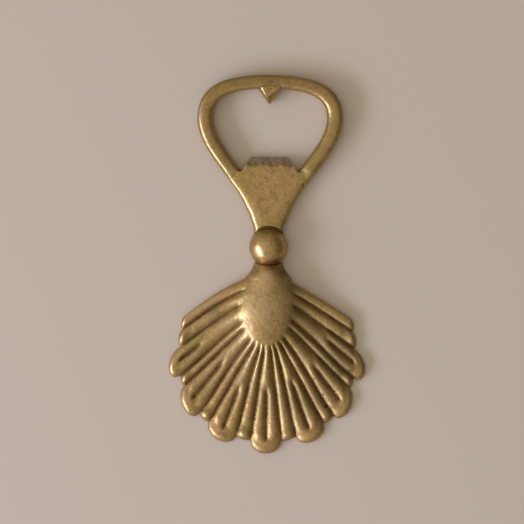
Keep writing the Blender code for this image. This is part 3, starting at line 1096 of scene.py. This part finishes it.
# the bow is darkened at the tooth, browner all over, and painted with shade on the back of its crown
bow_grime_and_shade = np.maximum(0.5 * near_neighbour(bow_mesh, tooth_mesh, TOOTH_GRIME_AND_SHADE_REACH), browned_with_crown_shade(bow_mesh))
tooth_grime_and_shade = 0.5 * near_neighbour(tooth_mesh, bow_mesh, TOOTH_GRIME_AND_SHADE_REACH)
fettle("bow", bow_mesh, ["loop_frame"], grey_on_rim(bow_mesh), bow_grime_and_shade, painted_highlight=painted_crown_highlight(bow_mesh))
fettle("web_and_lip", web_mesh, ["web_plate"], grey_on_lip(web_mesh), web_grime_and_shade)
fettle("tooth", tooth_mesh, ["cap_tooth"], grime_and_shade=tooth_grime_and_shade)
fettle("ball", ball_mesh, ["ball_knop"], grime_and_shade=ball_grime_and_shade)
fettle("shell", shell_mesh, ["shell_handle"], grime_and_shade=shell_grime_and_shade, dull=SHELL_DULLNESS, painted_highlight=shell_painted_highlight)

# %% [markdown]
# ## The finish
#
# Old brass is a metal with a thin uneven skin of oxide. The bare metal is yellow and satin, and the skin
# is olive to dark brown and duller. The skin gathers in hollows, is rubbed off the ridges, and is mottled
# everywhere in between. So the finish mixes three things: a mottled brass, a dark patina where the mesh
# says there is a hollow, which also paints the shade at the seams, on the crown's back and over the shell's
# right half, and a cleaner, brighter brass on the ridges, which also paints the highlights.

# %% A short way to add nodes
finish = bpy.data.materials.new("aged_brass")
finish.use_nodes = True
nodes = finish.node_tree.nodes
links = finish.node_tree.links
nodes.clear()


def feed(socket, value):
    """Sets a socket to a plain value, or links another socket to it."""
    if isinstance(value, bpy.types.NodeSocket):
        links.new(value, socket)
    else:
        socket.default_value = value


def put(kind, inputs=None, **settings):
    """Adds a node. inputs maps socket names or numbers to what feeds them."""
    node = nodes.new(kind)
    for name, value in settings.items():
        setattr(node, name, value)
    for name, value in (inputs or {}).items():
        feed(node.inputs[name], value)
    return node


def noise(scale, detail=4.0, roughness=0.55, distortion=0.0):
    made = put(
        "ShaderNodeTexNoise",
        {
            "Vector": place.outputs["Object"],
            "Scale": scale,
            "Detail": detail,
            "Roughness": roughness,
            "Distortion": distortion,
        },
    )
    return made.outputs["Fac"]


def spread(value, low, high, to_low=0.0, to_high=1.0):
    """Maps low..high of a value to to_low..to_high with soft ends."""
    made = put(
        "ShaderNodeMapRange",
        {0: value, 1: low, 2: high, 3: to_low, 4: to_high},
        interpolation_type="SMOOTHSTEP",
    )
    return made.outputs[0]


def calculate(operation, first, second):
    return put("ShaderNodeMath", {0: first, 1: second}, operation=operation).outputs[0]


def blend_colours(amount, under, over):
    """Lays one colour over another. Sockets 0, 6 and 7 are the amount and the two colours."""
    return put("ShaderNodeMix", {0: amount, 6: under, 7: over}, data_type="RGBA").outputs[2]


def written(name):
    """A value that was written into the points of every mesh."""
    return put("ShaderNodeAttribute", attribute_name=name).outputs["Fac"]


place = put("ShaderNodeTexCoord")
hollow_and_highlight = written("hollow_and_highlight")
crease = written("crease")
tarnish = written("tarnish")
grime_and_shade = written("grime_and_shade")
dull = written("dull")
print("nodes ready:", len(nodes))

# %% [markdown]
# The mottling has four sizes: slow clouds a centimetre across, patches of two or three millimetres, mottles
# of one, and a fine grain. Scales are per metre here, so a scale of 420 gives patches of about 2.4 mm.

# %% Mottled brass
BRASS = (0.54, 0.347, 0.142, 1)
OLIVE = (0.445, 0.312, 0.107, 1)
BROWN = (0.37, 0.225, 0.10, 1)
UMBER = (0.27, 0.175, 0.075, 1)
# patina colour, also used for painted shade
PATINA_AND_SHADE = (0.085, 0.058, 0.028, 1)
# rubbed brass colour, also used for painted highlights
RUBBED_AND_HIGHLIGHT = (0.62, 0.455, 0.25, 1)
GREY = (0.38, 0.31, 0.245, 1)
SCRATCHED = (0.62, 0.55, 0.48, 1)

clouds = noise(110, detail=3)
patches = noise(420, detail=5, roughness=0.6, distortion=0.4)
grain = noise(2600, detail=4, roughness=0.65)
colour = blend_colours(spread(clouds, 0.42, 0.62), BRASS, OLIVE)
colour = blend_colours(spread(patches, 0.50, 0.68, 0, 0.75), colour, BROWN)
mottle = noise(1050, detail=3, roughness=0.6)
colour = blend_colours(spread(mottle, 0.48, 0.66, 0, 0.38), colour, UMBER)
colour = blend_colours(spread(mottle, 0.44, 0.32, 0, 0.22), colour, RUBBED_AND_HIGHLIGHT)
colour = blend_colours(spread(grain, 0.52, 0.75, 0, 0.5), colour, PATINA_AND_SHADE)
print("nodes with the mottled brass:", len(nodes))

# %% [markdown]
# The patina follows the hollows, but not evenly: noise breaks its edge up, as dirt does. The grime and the
# painted shade go on as the same patina. A few dark specks sit anywhere. Ridges get the rubbed brass in the
# same broken way, and so do the places with a painted highlight.

# %% Patina, wear, painted shade and painted highlights
ragged = calculate("MULTIPLY", calculate("SUBTRACT", patches, 0.5), 0.22)
depth = calculate("ADD", hollow_and_highlight, ragged)
in_hollow = spread(depth, 0.02, 0.30)
in_crease = spread(crease, 0.008, 0.05)
dirt_and_shade = calculate("MAXIMUM", calculate("MULTIPLY", in_hollow, 0.85), calculate("MULTIPLY", in_crease, 0.8))
specks = spread(noise(900, detail=2, roughness=0.4), 0.69, 0.77, 0, 0.4)
dirt_and_shade = calculate("MAXIMUM", dirt_and_shade, specks)
# the grime value also paints the shade at the seams, on the crown's back and over the shell's right half
mottled_grime_and_shade = calculate("MULTIPLY", grime_and_shade, spread(patches, 0.25, 0.65, 1.15, 0.7))
dirt_and_shade = calculate("MAXIMUM", dirt_and_shade, calculate("MINIMUM", mottled_grime_and_shade, 0.9))
on_ridge_and_highlight = calculate("MULTIPLY", spread(calculate("MULTIPLY", depth, -1), 0.05, 0.40), 0.35)
colour = blend_colours(on_ridge_and_highlight, colour, RUBBED_AND_HIGHLIGHT)
colour = blend_colours(dirt_and_shade, colour, PATINA_AND_SHADE)
scrape_edge = calculate("ADD", tarnish, calculate("MULTIPLY", calculate("SUBTRACT", patches, 0.5), 1.3))
scraped = calculate("MULTIPLY", spread(scrape_edge, 0.10, 0.95), 0.9)
colour = blend_colours(scraped, colour, GREY)
scratches = calculate("MULTIPLY", scraped, spread(noise(1500, detail=3), 0.56, 0.66, 0, 0.6))
colour = blend_colours(scratches, colour, SCRATCHED)
print("nodes with patina and wear:", len(nodes))

# %% [markdown]
# Gloss and relief come last. Rubbed brass is smoother than the oxide, so the roughness follows the same
# masks. The bump is fine: a grain of a tenth of a millimetre from the sand, soft hammering a millimetre or
# two across, and tiny pits.

# %% Gloss and fine relief
gloss = spread(patches, 0.3, 0.75, 0.29, 0.43)
gloss = calculate("ADD", gloss, calculate("MULTIPLY", dirt_and_shade, 0.25))
gloss = calculate("ADD", gloss, calculate("MULTIPLY", scraped, 0.12))
gloss = calculate("SUBTRACT", gloss, calculate("MULTIPLY", on_ridge_and_highlight, 0.12))
gloss = calculate("ADD", gloss, dull)

pits = put(
    "ShaderNodeTexVoronoi",
    {"Vector": place.outputs["Object"], "Scale": 1500, "Randomness": 1.0},
    feature="F1",
).outputs["Distance"]
pit_mask = spread(pits, 0.05, 0.30)
fine = calculate("ADD", calculate("MULTIPLY", grain, 0.35), calculate("MULTIPLY", pit_mask, 0.10))
swell = noise(700, detail=3, roughness=0.5)
bump = put("ShaderNodeBump", {"Height": swell, "Distance": 0.00016, "Strength": 0.55})
bump = put(
    "ShaderNodeBump",
    {"Height": fine, "Distance": 0.00006, "Strength": 0.6, "Normal": bump.outputs["Normal"]},
)
shader = put(
    "ShaderNodeBsdfPrincipled",
    {"Base Color": colour, "Metallic": 1.0, "Roughness": gloss, "Normal": bump.outputs["Normal"]},
)
put("ShaderNodeOutputMaterial", {"Surface": shader.outputs["BSDF"]})
for piece in pieces:
    piece.data.materials.clear()
    piece.data.materials.append(finish)
print("finish on", len(pieces), "pieces,", len(nodes), "nodes")

# %% [markdown]
# ## The studio
#
# The opener lies on a plain pale table. A wide, low window of soft light stands to its left and a little
# towards the shell's end, so that every left flank gets a bright line and every right flank falls into
# shade. The rest of the room is dim and warm, darkest on the right.

# %% The table
TABLE_SIZE = 3.0
TABLE_GAP = 0.00002  # keeps the table's top clear of the flat underside
floor_mesh = bpy.data.meshes.new("table")
half = TABLE_SIZE / 2
floor_mesh.from_pydata(
    [(-half, -half, 0), (half, -half, 0), (half, half, 0), (-half, half, 0)], [], [(0, 1, 2, 3)]
)
floor = bpy.data.objects.new("table", floor_mesh)
floor.location.z = cad_low.z - TABLE_GAP
bpy.context.collection.objects.link(floor)
pale = bpy.data.materials.new("pale_table")
pale.use_nodes = True
pale_shader = pale.node_tree.nodes["Principled BSDF"]
pale_shader.inputs["Base Color"].default_value = (0.61, 0.51, 0.40, 1)
pale_shader.inputs["Roughness"].default_value = 0.65
floor_mesh.materials.append(pale)
print(f"table: {TABLE_SIZE} m across, top at {floor.location.z * 1000:.2f} mm")


# %% The window
def soft_light(name, azimuth, elevation, distance, width, height, power, colour):
    """A rectangular light that looks at the opener. Azimuth is measured from +X towards +Y."""
    turn, rise = math.radians(azimuth), math.radians(elevation)
    towards = Vector((math.cos(turn) * math.cos(rise), math.sin(turn) * math.cos(rise), math.sin(rise)))
    light = bpy.data.lights.new(name, "AREA")
    light.shape = "RECTANGLE"
    light.size = width
    light.size_y = height
    light.energy = power
    light.color = colour
    lamp = bpy.data.objects.new(name, light)
    lamp.location = towards * distance
    lamp.rotation_euler = (-towards).to_track_quat("-Z", "Y").to_euler()
    bpy.context.collection.objects.link(lamp)
    print(f"{name}: {power} W from {[round(v, 2) for v in lamp.location]}")


soft_light(
    "window",
    azimuth=206,
    elevation=23,
    distance=1.2,
    width=1.0,
    height=0.28,
    power=10.5,
    colour=(0.85, 0.97, 1.42),
)

# %% [markdown]
# Metal mostly shows what it reflects, so the room behind the light matters too. Its brightness follows one
# direction: a dot product tells how far a ray points to the brighter side, and a Map Range node turns that
# into a strength.

# %% The room
DARKEST = 0.02
BRIGHTEST = 0.84
world = bpy.data.worlds.new("room")
bpy.context.scene.world = world
world.use_nodes = True
room = world.node_tree
backdrop = room.nodes["Background"]
direction = room.nodes.new("ShaderNodeTexCoord")
lean = room.nodes.new("ShaderNodeVectorMath")
lean.operation = "DOT_PRODUCT"
lean.inputs[1].default_value = (-0.80, -0.24, 0.55)
ramp = room.nodes.new("ShaderNodeMapRange")
for socket, value in zip(ramp.inputs[1:5], (-0.9, 1.0, DARKEST, BRIGHTEST)):
    socket.default_value = value
room.links.new(direction.outputs["Generated"], lean.inputs[0])
room.links.new(lean.outputs["Value"], ramp.inputs[0])
room.links.new(ramp.outputs[0], backdrop.inputs["Strength"])
backdrop.inputs["Color"].default_value = (1.0, 0.92, 0.82, 1)
print("room:", len(room.nodes), "nodes")

# %% [markdown]
# The camera looks straight down from arm's length with a long lens, so there is hardly any perspective.
# It is turned by less than a degree, because the opener doesn't lie quite square to the picture.

# %% The camera
VIEW_WIDTH = 0.1659  # how much of the table fits in the view, in metres
VIEW_HEIGHT = 0.0023  # measured at this height above the table
VIEW_X, VIEW_Y = -0.00202, 0.00077  # the point that the camera looks down on
VIEW_TURN = 0.01326
LENS = 130
SENSOR = 36
camera_data = bpy.data.cameras.new("camera")
camera_data.lens = LENS
camera_data.sensor_width = SENSOR
camera = bpy.data.objects.new("camera", camera_data)
camera.location = (VIEW_X, VIEW_Y, VIEW_HEIGHT + VIEW_WIDTH * LENS / SENSOR)
camera.rotation_euler = (0, 0, VIEW_TURN)
bpy.context.collection.objects.link(camera)
bpy.context.scene.camera = camera
bpy.context.scene.view_settings.view_transform = "Standard"
print(f"camera: {camera.location.z:.3f} m above the table")

# %% [markdown]
# Last, the box of the imported model is printed, in millimetres.

# %% Sizes and the end
print("packed box", [round(v / MM, 2) for v in (*cad_low, *cad_high)])
